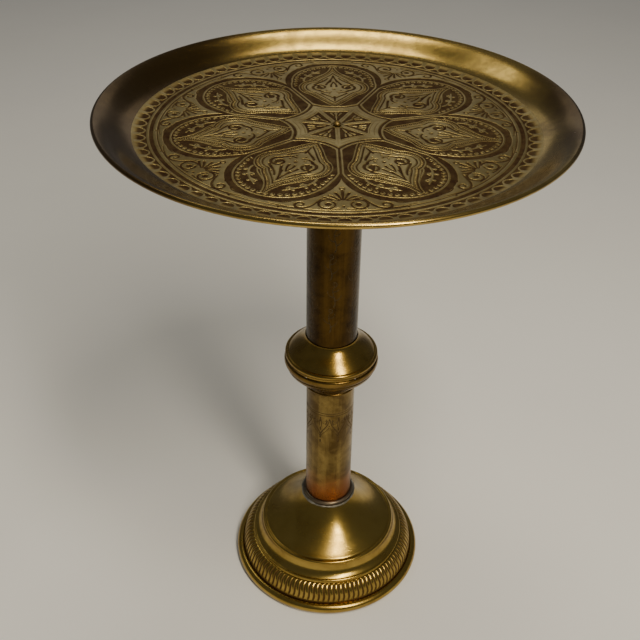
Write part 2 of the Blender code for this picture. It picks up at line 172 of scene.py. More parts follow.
def spin_section(section, steps=SPUN_STEPS):
    """Bmesh of a closed section turned all the way round the table's axis."""
    builder = bmesh.new()
    corners = [builder.verts.new((radius, 0, z)) for radius, z in section]
    edges = [builder.edges.new(pair) for pair in zip(corners, corners[1:] + corners[:1])]
    bmesh.ops.spin(
        builder, geom=corners + edges, cent=(0, 0, 0), axis=(0, 0, 1),
        angle=math.tau, steps=steps, use_merge=True,
    )
    return builder


def places(mesh):
    found = np.zeros(len(mesh.vertices) * 3, np.float32)
    mesh.vertices.foreach_get("co", found)
    return found.reshape(-1, 3).astype(float)


def polar(found):
    """Each point's distance from the table's axis, and its angle round it."""
    return np.hypot(found[:, 0], found[:, 1]), np.arctan2(found[:, 1], found[:, 0])


def put_back(mesh, found, **marks):
    """Moves the mesh's points to found and stores each mark as a named value on its points."""
    mesh.vertices.foreach_set("co", found.astype(np.float32).ravel())
    for label, values in marks.items():
        layer = mesh.attributes.new(label, "FLOAT", "POINT")
        layer.data.foreach_set("value", values.astype(np.float32))
    mesh.update()


# ---- drawing with a graver: distances in millimetres, 1 is cut and 0 is left bright ----------
EDGE = 0.30                    # width over which a cut's wall falls


def cover(distance):
    return np.clip(0.5 - distance / EDGE, 0, 1)


def lay(cut, distance, value):
    """Lays value wherever distance is below zero, with a soft edge."""
    share = cover(distance)
    cut += (value - cut) * share


def chain(x, y, points):
    """Distance to a chain of points, and the length along it at the nearest place."""
    best = np.full(x.shape, 1e6)
    along = np.zeros(x.shape)
    passed = 0.0
    for (x0, y0), (x1, y1) in zip(points, points[1:]):
        length = math.hypot(x1 - x0, y1 - y0)
        share = ((x - x0) * (x1 - x0) + (y - y0) * (y1 - y0)) / max(length * length, 1e-9)
        share = np.clip(share, 0, 1)
        distance = np.hypot(x - x0 - share * (x1 - x0), y - y0 - share * (y1 - y0))
        closer = distance < best
        best = np.where(closer, distance, best)
        along = np.where(closer, passed + share * length, along)
        passed += length
    return best, along, passed


def stroke(cut, x, y, points, start_width, end_width=None, value=1.0):
    """One graver stroke along points, swelling or tapering from start_width to end_width."""
    end_width = start_width if end_width is None else end_width
    reach = max(start_width, end_width)
    xs, ys = zip(*points)
    near = (x > min(xs) - reach) & (x < max(xs) + reach)
    near &= (y > min(ys) - reach) & (y < max(ys) + reach)
    if not near.any():
        return
    distance, along, total = chain(x[near], y[near], points)
    width = start_width + (end_width - start_width) * along / total
    part = cut[near]
    lay(part, distance - width / 2, value)
    cut[near] = part


def dot(cut, x, y, centre, radius, value=1.0):
    lay(cut, np.hypot(x - centre[0], y - centre[1]) - radius, value)


def inside(x, y, points):
    """True inside the closed outline through points."""
    odd = np.zeros(x.shape, bool)
    for (x0, y0), (x1, y1) in zip(points, points[1:] + points[:1]):
        if y0 != y1:
            crossing = (x1 - x0) * (y - y0) / (y1 - y0) + x0
            odd ^= ((y0 > y) != (y1 > y)) & (x < crossing)
    return odd


PETAL_CENTRE = 101.8           # middle of the petal's round end, along its axis
PETAL_ROUND = 44.2             # that end's radius
STAR_CENTRE = 75.7             # middle of the arcs between the star's points
STAR_ROUND = 39.7              # their radius
SWELL_START = 91.7             # where a petal's band begins to widen, and over what length
SWELL_LENGTH = 14.0
BEAD_PITCH = 5.6
TOOTH_PITCH = 1.9
HEART_START = 1.6              # how much bolder the arabesque's strokes are cut than drawn
HEART_END = 1.5


def medallion_outline():
    """Half outline of the medallion: straight taper, round lobe, hollow shoulder and tip."""
    lobe = arc((84.5, 12.5), 17.6, 152, 20, 22)
    return (
        [(41.0, 0.0)]
        + bezier((41.5, 0.2), (50, 8), (60, 13.5), (67.0, 19.2), 8)
        + lobe
        + bezier((101.4, 17.6), (110, 14), (117, 2.5), (135, 0.0), 14)
    )


def engrave_petal(cut, a, b, depth, along_side, star):
    """A petal's ground, outline, bead string, medallion and sprays. a runs out, b sideways."""
    petal = (depth > 0) & (star < 0)
    hatch = 0.90 + 0.10 * np.cos(math.tau * (a + 0.4 * b) / 1.7)
    cut[:] = np.where(petal, hatch, cut)
    turn = np.arctan2(b, a - PETAL_CENTRE)
    swell = np.clip((along_side - SWELL_START) / SWELL_LENGTH, 0, 1)
    band = 0.9 + 3.8 * swell
    outline = np.where(petal, cover(np.abs(depth - band - 0.8) - 0.8), 0)
    cut *= 1 - outline
    bead_depth = band + 4.7
    bead_along = turn * (PETAL_ROUND - 8.8)
    bead_along = (bead_along / BEAD_PITCH) % 1.0 - 0.5
    bead = np.hypot(bead_along * BEAD_PITCH, depth - bead_depth)
    beaded = petal & (swell > 0.15)
    cut *= np.where(beaded, 1 - cover(bead - 1.95), 1)
    inner_bead = np.hypot(bead_along * BEAD_PITCH - 0.4, depth - bead_depth - 0.7)
    cut[:] = np.where(beaded, cut + (0.95 - cut) * cover(inner_bead - 1.0), cut)
    inner_line = np.where(petal, cover(np.abs(star + 3.2) - 0.9), 0)
    cut *= 1 - inner_line
    engrave_sprays(cut, a, b)
    engrave_medallion(cut, a, b)


def engrave_sprays(cut, a, b):
    """Bright flower sprays left standing in the dark shoulders of a petal."""
    stem = bezier((100, 27.5), (108, 29), (118, 22), (126.5, 12.0), 10)
    stroke(cut, a, b, stem, 2.0, 1.2, 0.0)
    for share, side, reach in ((2, 1, 4.6), (4, -1, 4.6), (5, 1, 4.4), (7, -1, 3.6), (8, 1, 3.2)):
        root = stem[share]
        tip = (root[0] + 0.55 * reach, root[1] + side * 0.75 * reach - 1.0)
        stroke(cut, a, b, [root, tip], 1.2, 2.8, 0.0)
    for centre, size in (((112.6, 21.8), 1.9), ((121.2, 14.4), 1.5)):
        for i in range(6):
            leaf = math.radians(60 * i + 15)
            tip = (centre[0] + size * math.cos(leaf), centre[1] + size * math.sin(leaf))
            dot(cut, a, b, tip, 0.85, 0.0)
        dot(cut, a, b, centre, 0.75, 1.0)
    stroke(cut, a, b, bezier((103, 22), (108, 20), (112, 14), (120, 7.4), 6), 1.1, 0.7, 0.0)


def engrave_medallion(cut, a, b):
    """Toothed edge, bright line, dark line, and a bright heart with an engraved arabesque."""
    outline = medallion_outline()
    near = (a > 36) & (a < 140) & (b < 36)
    if not near.any():
        return
    x = a[near]
    y = b[near]
    distance, along, _ = chain(x, y, outline)
    within = inside(x, y, outline + [(135.0, -0.5), (41.0, -0.5)])
    depth = np.where(within, distance, -distance)
    part = cut[near]
    comb = 0.5 + 0.5 * np.cos(math.tau * along / TOOTH_PITCH)
    lay(part, -depth - 0.1, 1.0)
    lay(part, np.abs(depth + 1.9) - 0.5, 0.0)
    tooth = cover(np.abs(depth - 0.9) - 0.9) * comb
    part *= 1 - tooth
    lay(part, 2.2 - depth, 0.0)
    lay(part, np.abs(depth - 4.6) - 0.62, 1.0)
    heart = np.zeros(part.shape)
    strokes = (
        (spiral((84.5, 12.6), 7.6, 1.6, 172, -330, 34), 1.7, 1.1),
        (bezier((77.0, 13.6), (72.5, 11.0), (71.0, 6.0), (73.0, 2.4), 8), 1.6, 0.9),
        (bezier((70.5, 11.5), (66.5, 9.0), (63.0, 4.0), (58.0, 0.0), 8), 1.3, 1.0),
        (bezier((91.0, 17.5), (96.0, 14.0), (98.5, 8.5), (107.0, 5.2), 8), 1.6, 1.0),
        (bezier((90.5, 7.0), (96.0, 6.0), (101.0, 1.5), (114.0, 0.0), 8), 1.4, 0.9),
        (bezier((86.0, 2.4), (90.0, 3.0), (93.0, 1.6), (98.0, 0.0), 6), 1.2, 0.8),
        ([(62.0, 0.0), (50.0, 0.0)], 1.3, 0.7),
        (bezier((66.0, 15.0), (63.0, 12.0), (59.0, 8.0), (53.5, 4.6), 6), 1.1, 0.6),
        (bezier((112.0, 5.5), (116.0, 3.2), (120.0, 2.0), (125.0, 0.8), 6), 1.0, 0.6),
    )
    for points, start_width, end_width in strokes:
        stroke(heart, x, y, points, HEART_START * start_width, HEART_END * end_width)
    stroke(heart, x, y, [(82.0, 11.6), (87.4, 14.0)], 4.4, 2.6)
    stroke(heart, x, y, [(97.5, 3.6), (103.0, 2.2)], 2.6, 1.4)
    berries = (((80.0, 0.0), 1.5), ((76.4, 6.4), 1.0), ((69.0, 4.2), 0.9), ((102.0, 10.6), 1.0))
    for centre, size in berries:
        dot(heart, x, y, centre, size)
    share = cover(5.8 - depth)
    part += (heart - part) * share
    cut[near] = part


def engrave_star(cut, a, b, radius, from_spoke, star):
    """The seven-pointed star: double edge, spokes, and dark cells with small leaves."""
    lay(cut, -star - 0.1, 0.0)
    lay(cut, np.abs(star + 1.0) - 1.1, 1.0)
    for line, width, value in ((3.3, 0.28, 0.55), (7.2, 0.30, 0.6)):
        edge = np.abs(star - line) - width
        lay(cut, np.maximum(edge, 2.4 - from_spoke), value)
    cell = np.maximum(9.0 - star, np.maximum(2.1 - from_spoke, 6.2 - radius))
    lay(cut, cell, 1.0)
    leaves = (((9.8, 0.0), (16.8, 0.0)), ((19.0, 2.2), (24.2, 4.3)), ((19.4, 0.2), (24.6, 0.6)))
    for leaf in leaves:
        stroke(cut, a, b, leaf, 0.8, 2.1, 0.0)
    lay(cut, np.maximum(np.abs(from_spoke) - 0.22, np.abs(radius - 24) - 15), 0.5)


def engrave_spandrel(cut, p, q):
    """Between two petals: a palmette, volutes and scrolls. p runs out between the petals."""
    leaves = (
        ([(134.0, 0.0), (121.0, 0.0)], 1.6, 2.8),
        (bezier((134.0, 1.2), (130, 2.2), (126.5, 3.6), (123.6, 5.2), 5), 1.3, 2.4),
        (bezier((134.6, 2.4), (131.6, 4.8), (129.6, 7.2), (128.0, 9.8), 5), 1.3, 2.4),
        (bezier((135.4, 3.4), (134.2, 5.4), (133.0, 9.0), (130.6, 13.4), 5), 1.2, 2.0),
        (spiral((141.0, 11.4), 7.4, 5.2, 205, -140, 26), 2.0, 1.5),
        (spiral((117.0, 0.0), 2.0, 1.9, 0, 350, 12), 1.0, 1.0),
        (bezier((132.4, 15.4), (137.0, 19.5), (146.0, 22.0), (146.4, 31.0), 10), 1.2, 2.4),
        (spiral((141.2, 31.0), 5.2, 1.2, 0, 360, 26), 2.4, 1.4),
        (bezier((136.4, 38.0), (138.4, 41.0), (138.0, 46.0), (135.2, 51.0), 7), 0.9, 2.0),
        (bezier((146.4, 34.0), (145.0, 40.0), (141.8, 47.0), (138.2, 54.0), 9), 1.6, 0.8),
        (bezier((124.6, 17.6), (127.0, 20.4), (130.6, 22.8), (133.4, 27.6), 7), 0.8, 1.8),
        (bezier((147.6, 3.0), (148.4, 8.0), (148.2, 13.0), (147.4, 17.0), 7), 1.3, 0.8),
        (bezier((131.6, 31.0), (130.8, 35.0), (132.0, 39.0), (131.4, 43.0), 7), 0.8, 1.6),
    )
    for points, start_width, end_width in leaves:
        stroke(cut, p, q, points, start_width, end_width)
    berries = (
        ((141.0, 11.0), 2.5), ((133.4, 33.8), 1.1), ((144.4, 47.0), 1.0), ((144.6, 0.0), 1.2),
    )
    for centre, size in berries:
        dot(cut, p, q, centre, size)


# Sway in and out, its wavelength and start; sway sideways and its wavelength, in millimetres.
STEADY_HAND = (0.0, 20.0, 0.0, 0.0, 20.0)


def engrave_field(radius, angle, hand):
    """How deep the tray's flat field is cut, 0 to 1. angle is from a petal's axis.
    hand is ordered like STEADY_HAND and makes each petal a little unlike the others."""
    calm = 1 - (angle / HALF_PETAL) ** 2
    shift = hand[0] * np.sin(radius / hand[1] + hand[2]) * calm
    slide = hand[3] * np.sin(radius / hand[4] + 3 * angle) * calm * np.abs(angle)
    radius = radius + shift
    angle = np.abs(angle + slide / np.maximum(radius, 20))
    a = radius * np.cos(angle)
    b = radius * np.sin(angle)
    off = HALF_PETAL - angle
    p = radius * np.cos(off)
    q = radius * np.sin(off)
    tangent = PETAL_CENTRE * math.cos(HALF_PETAL)
    round_end = PETAL_ROUND - np.hypot(a - PETAL_CENTRE, b)
    depth = np.where(p < tangent, q, round_end)
    star = np.hypot(a - STAR_CENTRE, b) - STAR_ROUND
    star = np.where(a > STAR_CENTRE - 8, -np.abs(star) - 9, star)
    cut = np.zeros(radius.shape)
    engrave_spandrel(cut, p, q)
    engrave_petal(cut, a, b, depth, p, star)
    lay(cut, np.where(star < 0, np.abs(depth) - 0.75, 9.0), 1.0)
    rim = np.where(p > tangent - 4, depth, 9.0)
    lay(cut, np.abs(rim + 0.2) - 0.5, 1.0)
    engrave_star(cut, a, b, radius, q, star)
    lay(cut, np.abs(radius - 150.8) - 0.55, 1.0)
    lay(cut, np.abs(radius - 155.8) - 1.75, 1.0)
    return cut


def engrave_border(radius, angle):
    """Ring of open horseshoe punches on the rising border."""
    pitch = math.tau / PUNCHES
    off = ((angle / pitch) % 1.0 - 0.5) * pitch
    across = np.abs(radius * np.sin(off))
    out = radius * np.cos(off)
    shell = np.hypot(np.maximum(PUNCH_CENTRE - out, 0), across) - PUNCH_RADIUS
    cut = np.zeros(radius.shape)
    gusset = np.clip((165.5 - radius) / 3.0, 0, 1)
    lay(cut, np.maximum(0.8 - shell, 159.6 - radius), gusset)
    shallower = np.clip(0.95 - (radius - 164.5) / 9.0, 0.18, 1)
    lay(cut, shell + 0.7, shallower)
    return cut


# ---- nodes -----------------------------------------------------------------------------------
def add(tree, kind, inputs=None, **settings):
    """A shader node with its settings and inputs; an input may be a value or another's output."""
    made = tree.nodes.new("ShaderNode" + kind)
    for label, value in settings.items():
        setattr(made, label, value)
    for label, value in (inputs or {}).items():
        if isinstance(value, bpy.types.NodeSocket):
            tree.links.new(value, made.inputs[label])
        else:
            made.inputs[label].default_value = value
    return made


def maths(tree, operation, first, second=0.0, third=0.0, clamp=False):
    made = add(tree, "Math", {0: first, 1: second, 2: third}, operation=operation, use_clamp=clamp)
    return made.outputs[0]


def noise(tree, vector, scale, detail=4.0, roughness=0.55, distortion=0.0):
    settings = {
        "Vector": vector, "Scale": scale, "Detail": detail,
        "Roughness": roughness, "Distortion": distortion,
    }
    return add(tree, "TexNoise", settings).outputs["Fac"]


def fade(tree, value, low, high, to_low=0.0, to_high=1.0):
    """Maps value from low..high onto to_low..to_high, with soft ends."""
    settings = {"Value": value, 1: low, 2: high, 3: to_low, 4: to_high}
    made = add(tree, "MapRange", settings, interpolation_type="SMOOTHSTEP")
    return made.outputs["Result"]


def blend(tree, share, first, second, kind="MIX"):
    made = add(tree, "Mix", data_type="RGBA", blend_type=kind)
    for socket, value in ((0, share), (6, first), (7, second)):
        if isinstance(value, bpy.types.NodeSocket):
            tree.links.new(value, made.inputs[socket])
        elif socket == 0:
            made.inputs[socket].default_value = value
        else:
            made.inputs[socket].default_value = (*value, 1.0)
    return made.outputs[2]


def start_finish(name):
    material = bpy.data.materials.new(name)
    material.use_nodes = True
    tree = material.node_tree
    shader = tree.nodes["Principled BSDF"]
    place = add(tree, "TexCoord").outputs["Object"]
    return material, tree, shader, place


def axis_coordinates(tree, place):
    """Coordinates that run out from the table's axis, up it, and slowly round it."""
    split = add(tree, "SeparateXYZ", {"Vector": place})
    x, y, z = split.outputs
    squares = maths(tree, "ADD", maths(tree, "MULTIPLY", x, x), maths(tree, "MULTIPLY", y, y))
    out = maths(tree, "SQRT", squares)
    round_it = maths(tree, "ARCTAN2", y, x)
    slow = maths(tree, "MULTIPLY", round_it, 0.004)
    return add(tree, "CombineXYZ", {"X": out, "Y": slow, "Z": z}).outputs["Vector"]


def bump(tree, height, distance, strength=1.0, under=None):
    settings = {"Height": height, "Distance": distance, "Strength": strength}
    made = add(tree, "Bump", settings)
    if under is not None:
        tree.links.new(under, made.inputs["Normal"])
    return made.outputs["Normal"]


TARNISH = (0.10, 0.055, 0.022)
FLAME_RED = (0.30, 0.090, 0.024)
# Colour and strength of the painted shade on a piece's left and right sides.
SIDE_SHADE_BROWN = (0.080, 0.040, 0.012)
SIDE_SHADE_SHARE = 0.86
PIT_BROWN = (0.035, 0.018, 0.009)


def brass(name, light, deep, sheen, dull, marks, tarnish_share=0.5, cut_colour=None, pits=0.5,
          drawn_and_reflected_streaks=False, heat_height=None, shaded_sides=False):
    """Aged brass. light and deep are its rubbed and its darkened colour, sheen the roughness
    where it is rubbed, dull what tarnish adds, marks how strongly turning marks show.
    With cut_colour, the mark called cut darkens what the graver has taken away. Streaks along a
    tube are partly drawing marks and partly painted reflection streaks, and heat_height is where
    solder's flame has reddened it. The last option darkens a piece's left and right sides with
    painted shade, standing in for dark reflections."""
    material, tree, shader, place = start_finish(name)
    clouds = noise(tree, place, 26.0, 5.0, 0.6, 0.6)
    small_clouds = noise(tree, place, 115.0, 5.0, 0.62)
    grain = noise(tree, place, 1500.0, 3.0, 0.6)
    lathe = noise(tree, axis_coordinates(tree, place), 900.0, 3.0, 0.7)
    large = maths(tree, "MULTIPLY", clouds, 0.7)
    stain = fade(tree, maths(tree, "MULTIPLY_ADD", small_clouds, 0.3, large), 0.36, 0.68)
    # Streaks along the tube: partly drawing marks, partly painted reflection streaks.
    if drawn_and_reflected_streaks:
        along = add(tree, "Mapping", {"Vector": place, "Scale": (75.0, 75.0, 3.0)}).outputs[0]
        streaks = fade(tree, noise(tree, along, 1.0, 5.0, 0.62), 0.36, 0.62)
        fainter = maths(tree, "MULTIPLY", stain, 0.7)
        stain = maths(tree, "MULTIPLY_ADD", streaks, 0.5, fainter, clamp=True)
    colour = blend(tree, stain, light, deep)
    if heat_height:
        up = add(tree, "SeparateXYZ", {"Vector": place}).outputs["Z"]
        wavering = maths(tree, "MULTIPLY_ADD", clouds, 0.06, up)
        warm = fade(tree, wavering, heat_height + 0.034, heat_height + 0.085, 0.85, 0.0)
        colour = blend(tree, warm, colour, FLAME_RED)
    # Painted shade: the left and right sides are darkened, standing in for dark reflections.
    if shaded_sides:
        across = add(tree, "SeparateXYZ", {"Vector": place}).outputs["X"]
        across = maths(tree, "MULTIPLY_ADD", clouds, 0.02, across)
        left = fade(tree, across, -0.62 * TRAY_RADIUS, -0.28 * TRAY_RADIUS, SIDE_SHADE_SHARE, 0.0)
        right = fade(tree, across, 0.84 * TRAY_RADIUS, 1.02 * TRAY_RADIUS, 0.0, SIDE_SHADE_SHARE)
        colour = blend(tree, maths(tree, "MAXIMUM", left, right), colour, SIDE_SHADE_BROWN)
    spots = noise(tree, place, 420.0, 6.0, 0.68)
    spotted = fade(tree, spots, 0.60, 0.74, 0.0, tarnish_share)
    colour = blend(tree, spotted, colour, TARNISH)
    hair_settings = {"Vector": place, "Rotation": (0.4, 0.9, 0.3), "Scale": (60.0, 2600.0, 60.0)}
    hairs = add(tree, "Mapping", hair_settings).outputs[0]
    scratch = fade(tree, noise(tree, hairs, 1.0, 2.0, 0.5), 0.66, 0.72)
    colour = blend(tree, maths(tree, "MULTIPLY", scratch, 0.25), colour, light)
    pit_cells = add(tree, "TexVoronoi", {"Vector": place, "Scale": 520.0, "Randomness": 1.0})
    pit = fade(tree, pit_cells.outputs["Distance"], 0.05, 0.16, 1.0, 0.0)
    pit = maths(tree, "MULTIPLY", pit, fade(tree, small_clouds, 0.5, 0.66, 0.0, pits))
    colour = blend(tree, pit, colour, PIT_BROWN)
    rough = maths(tree, "MULTIPLY_ADD", stain, dull, sheen)
    rough = maths(tree, "MULTIPLY_ADD", spotted, 0.25, rough)
    rough = maths(tree, "MULTIPLY_ADD", lathe, 0.08 * marks, rough)
    metal = 1.0
    if cut_colour:
        cut = add(tree, "Attribute", attribute_name="cut").outputs["Fac"]
        dirt = fade(tree, small_clouds, 0.35, 0.7, 0.93, 1.0)
        filled = maths(tree, "MULTIPLY", fade(tree, cut, 0.12, 0.78), dirt)
        paler = tuple(1.9 * c for c in cut_colour)
        worn = blend(tree, fade(tree, spots, 0.4, 0.7), cut_colour, paler)
        colour = blend(tree, filled, colour, worn)
        rough = maths(tree, "MULTIPLY_ADD", filled, 0.36, rough)
        metal = maths(tree, "MULTIPLY_ADD", filled, -0.85, 1.0)
        shader.inputs["Specular IOR Level"].default_value = 0.06
        tree.links.new(metal, shader.inputs["Metallic"])
    else:
        shader.inputs["Metallic"].default_value = 1.0
    tree.links.new(colour, shader.inputs["Base Color"])
    tree.links.new(maths(tree, "MINIMUM", rough, 0.85), shader.inputs["Roughness"])
    relief = bump(tree, lathe, 0.00004 * marks, 0.6)
    relief = bump(tree, small_clouds, 0.00012, 0.25, relief)
    relief = bump(tree, grain, 0.00003, 0.5, relief)
    relief = bump(tree, scratch, -0.00002, 0.5, relief)
    relief = bump(tree, pit, -0.00006, 0.6, relief)
    tree.links.new(relief, shader.inputs["Normal"])
    return material


def plain_metal(name, light, deep, rough, metallic=1.0, lumps=0.0002, grain_scale=900.0):
    """Steel, iron or solder: clouded colour, grain and small lumps."""
    material, tree, shader, place = start_finish(name)
    clouds = noise(tree, place, 70.0, 5.0, 0.6)
    grain = noise(tree, place, grain_scale, 4.0, 0.65)
    colour = blend(tree, fade(tree, clouds, 0.35, 0.68), light, deep)
    darker = tuple(0.5 * c for c in deep)
    colour = blend(tree, fade(tree, grain, 0.55, 0.75, 0.0, 0.5), colour, darker)
    tree.links.new(colour, shader.inputs["Base Color"])
    tree.links.new(maths(tree, "MULTIPLY_ADD", clouds, 0.25, rough), shader.inputs["Roughness"])
    shader.inputs["Metallic"].default_value = metallic
    relief = bump(tree, grain, lumps, 0.6, bump(tree, clouds, 2 * lumps, 0.5))
    tree.links.new(relief, shader.inputs["Normal"])
    return material


def felt(name, light, deep):
    """Dense wool felt with loose fibres."""
    material, tree, shader, place = start_finish(name)
    stretched = add(tree, "Mapping", {"Vector": place, "Scale": (900.0, 2300.0, 1500.0)})
    fibres = noise(tree, stretched.outputs[0], 1.0, 5.0, 0.7, 1.5)
    clouds = noise(tree, place, 90.0, 4.0, 0.6)
    colour = blend(tree, fade(tree, fibres, 0.35, 0.7), deep, light)
    colour = blend(tree, fade(tree, clouds, 0.5, 0.75, 0.0, 0.4), colour, deep)
    tree.links.new(colour, shader.inputs["Base Color"])
    shader.inputs["Roughness"].default_value = 0.95
    shader.inputs["Sheen Weight"].default_value = 0.4
    tree.links.new(bump(tree, fibres, 0.0003, 0.8), shader.inputs["Normal"])
    return material


BRIGHT = (0.46, 0.325, 0.095)
OLIVE = (0.27, 0.185, 0.055)
CUT_BROWN = (0.019, 0.0085, 0.0035)

ENGRAVED = brass("engraved_brass", (0.44, 0.340, 0.130), (0.24, 0.175, 0.060), 0.27, 0.10, 0.3,
                 cut_colour=CUT_BROWN, tarnish_share=0.65)
# The flare's left and right sides carry painted shade.
POLISHED = brass("polished_flare_brass", BRIGHT, OLIVE, 0.15, 0.08, 0.6, tarnish_share=0.25,
                 shaded_sides=True)
# The tubes' streaks are partly drawing marks and partly painted reflection streaks.
TUBE_UPPER = brass("upper_tube_brass", (0.080, 0.045, 0.011), (0.022, 0.012, 0.004), 0.17, 0.12,
                   0.1, cut_colour=(0.060, 0.043, 0.020), drawn_and_reflected_streaks=True)
TUBE_LOWER = brass("lower_tube_brass", (0.29, 0.205, 0.066), (0.09, 0.056, 0.018), 0.19, 0.16, 0.1,
                   cut_colour=(0.060, 0.038, 0.015), tarnish_share=0.8, pits=0.9,
                   drawn_and_reflected_streaks=True, heat_height=BASE_TOP)
SPUN = brass("spun_knop_brass", (0.34, 0.225, 0.055), (0.20, 0.125, 0.030), 0.17, 0.10, 0.5)
# A darker copy of the knop brass for the bowl underneath: painted shade.
SPUN_PAINTED_SHADE = brass("browned_bowl_brass", (0.22, 0.138, 0.036), (0.10, 0.058, 0.016), 0.18, 0.12, 0.5)
# On the reeded band, cut_colour darkens the valleys and the band's lower end.
BASE = brass("spun_base_brass", (0.43, 0.300, 0.074), (0.29, 0.190, 0.044), 0.16, 0.10, 0.5,
             cut_colour=(0.050, 0.027, 0.010), tarnish_share=0.35)
TURNED = brass("turned_fitting_brass", (0.30, 0.215, 0.075), (0.18, 0.12, 0.04), 0.26, 0.2, 0.8)
COLLAR = brass("stained_collar_brass", (0.20, 0.155, 0.10), (0.10, 0.082, 0.065), 0.32, 0.2, 0.6)
SOLDER = plain_metal("soft_solder", (0.36, 0.35, 0.31), (0.17, 0.16, 0.13), 0.42)
WIRE = plain_metal("edge_wire_iron", (0.26, 0.23, 0.20), (0.12, 0.085, 0.06), 0.45)
STEEL = plain_metal("mild_steel", (0.42, 0.41, 0.39), (0.24, 0.22, 0.20), 0.38)
IRON = plain_metal("cast_iron", (0.10, 0.10, 0.10), (0.05, 0.045, 0.04), 0.62, 0.7, 0.0006, 500.0)
FELT = felt("green_wool_felt", (0.07, 0.15, 0.08), (0.02, 0.055, 0.03))


# ---- the tray --------------------------------------------------------------------------------
def flare_path(steps):
    """Show face of the tray from the border's outer edge over the flare to the rolled edge."""
    depth = TRAY_RIM - TRAY_FLOOR
    roll = arc((TRAY_RADIUS - ROLL_RADIUS, depth - ROLL_RADIUS), ROLL_RADIUS, 110, -190, 26)
    flare = bezier(
        (FLARE_START, BORDER_RISE),
        (FLARE_START + 0.33 * FLARE_WIDTH, BORDER_RISE + 0.15 * depth),
        (FLARE_START + 0.60 * FLARE_WIDTH, 0.84 * depth),
        roll[0],
        steps,
    )
    return flare[:-1] + roll


def border_height(radius):
    """Height of the rising border above the flat field, radius in metres."""
    share = np.clip((radius - BORDER_START) / BORDER_WIDTH, 0, 1)
    return BORDER_RISE * (0.2 * share + 0.8 * share ** 2)


def make_tray_shell():
    """Plain spun sheet: lies just under the engraved panels, then shows as flare and roll."""
    flare = flare_path(22)
    low_field = [(TRAY_BORE, -SINK), (BORDER_START, -SINK)]
    low_border = [
        (radius, border_height(radius) - SINK)
        for radius in (BORDER_START + BORDER_WIDTH * share for share in (0.25, 0.5, 0.75))
    ]
    edge = (FLARE_START - 0.05 * MM, BORDER_RISE - SINK)
    top = low_field + low_border + [edge] + flare
    raised_border = [(radius, height + SINK) for radius, height in low_border]
    level_path = [(TRAY_BORE, 0.0), (BORDER_START, 0.0)] + raised_border + flare
    under = sheet(level_path, TRAY_SHEET)
    under = under[len(under) // 2:]
    section = [(radius, TRAY_FLOOR + height) for radius, height in top + under]
    builder = spin_section(section, steps=288)
    return piece_from(builder, "tray_shell", POLISHED, "tray_top", ["tray"], sharp=40)


def close_below(builder, bottom):
    """Walls and a floor under an open sheet of faces, down to the height bottom."""
    rim = [edge for edge in builder.edges if edge.is_boundary]
    grown = bmesh.ops.extrude_edge_only(builder, edges=rim)["geom"]
    for vert in grown:
        if isinstance(vert, bmesh.types.BMVert):
            vert.co.z = bottom
    low_edges = [edge for edge in grown if isinstance(edge, bmesh.types.BMEdge)]
    bmesh.ops.holes_fill(builder, edges=low_edges, sides=0)


def polar_sheet(columns, rows, start_angle, end_angle, inner, outer):
    """Grid of faces bent round the tray's centre; radii in metres."""
    builder = bmesh.new()
    bmesh.ops.create_grid(builder, x_segments=columns, y_segments=rows, size=1.0)
    for vert in builder.verts:
        angle = start_angle + (end_angle - start_angle) * (vert.co.x + 1) / 2
        radius = inner + (outer - inner) * (vert.co.y + 1) / 2
        vert.co = (radius * math.cos(angle), radius * math.sin(angle), 0)
    return builder


def carve(made, cut, base_height, floor):
    """Sinks the show face of made by its cuts. Points at or under floor are left where they are."""
    found = places(made.data)
    top = found[:, 2] > floor
    found[:, 2] = np.where(top, base_height - CUT_DEPTH * cut, found[:, 2])
    put_back(made.data, found, cut=np.where(top, cut, 0.0))


def make_petal_panels():
    """Seven engraved panels, one to each petal, from the star's edge to the border."""
    chance = np.random.default_rng(7)
    floor = TRAY_FLOOR - SINK + PANEL_LIFT
    for i in range(PETALS):
        axis = -math.pi / 2 + PETAL_TURN + (i + 0.5) * 2 * HALF_PETAL
        builder = polar_sheet(
            count(230), count(236), axis - HALF_PETAL, axis + HALF_PETAL,
            STAR_EDGE * MM, FIELD_EDGE * MM,
        )
        bmesh.ops.translate(builder, verts=builder.verts, vec=(0, 0, TRAY_FLOOR))
        close_below(builder, floor)
        name = f"tray_petal_panel_{i + 1}"
        made = piece_from(builder, name, ENGRAVED, "tray_top", ["tray"], sharp=70)
        found = places(made.data)
        distance, angle = polar(found)
        radius = distance / MM
        angle = (angle - axis + math.pi) % math.tau - math.pi
        angle = np.clip(angle, -HALF_PETAL, HALF_PETAL)
        hand = (
            chance.uniform(-0.45, 0.45), chance.uniform(14, 22), chance.uniform(0, 6),
            chance.uniform(-2.2, 2.2), chance.uniform(18, 30),
        )
        cut = engrave_field(radius, angle, hand)
        cut *= 0.93 + 0.07 * np.sin(radius / 3.1 + 5 * angle)
        carve(made, cut, TRAY_FLOOR, floor + SKIN)


def make_star_panel():
    """The engraved disc with the star, round the screw."""
    floor = TRAY_FLOOR - SINK + PANEL_LIFT
    steps = count(100)
    top = straight((STAR_EDGE * MM, TRAY_FLOOR), (STAR_HOLE * MM, TRAY_FLOOR), steps)
    section = top + [(STAR_HOLE * MM, floor), (STAR_EDGE * MM, floor)]
    builder = spin_section(section, count(64) * PETALS)
    made = piece_from(
        builder, "tray_star_panel", ENGRAVED, "tray_top", ["tray"], sharp=70
    )
    found = places(made.data)
    distance, angle = polar(found)
    angle = (angle + math.pi / 2 - PETAL_TURN) % (2 * HALF_PETAL) - HALF_PETAL
    cut = engrave_field(distance / MM, angle, STEADY_HAND)
    carve(made, cut, TRAY_FLOOR, floor + SKIN)


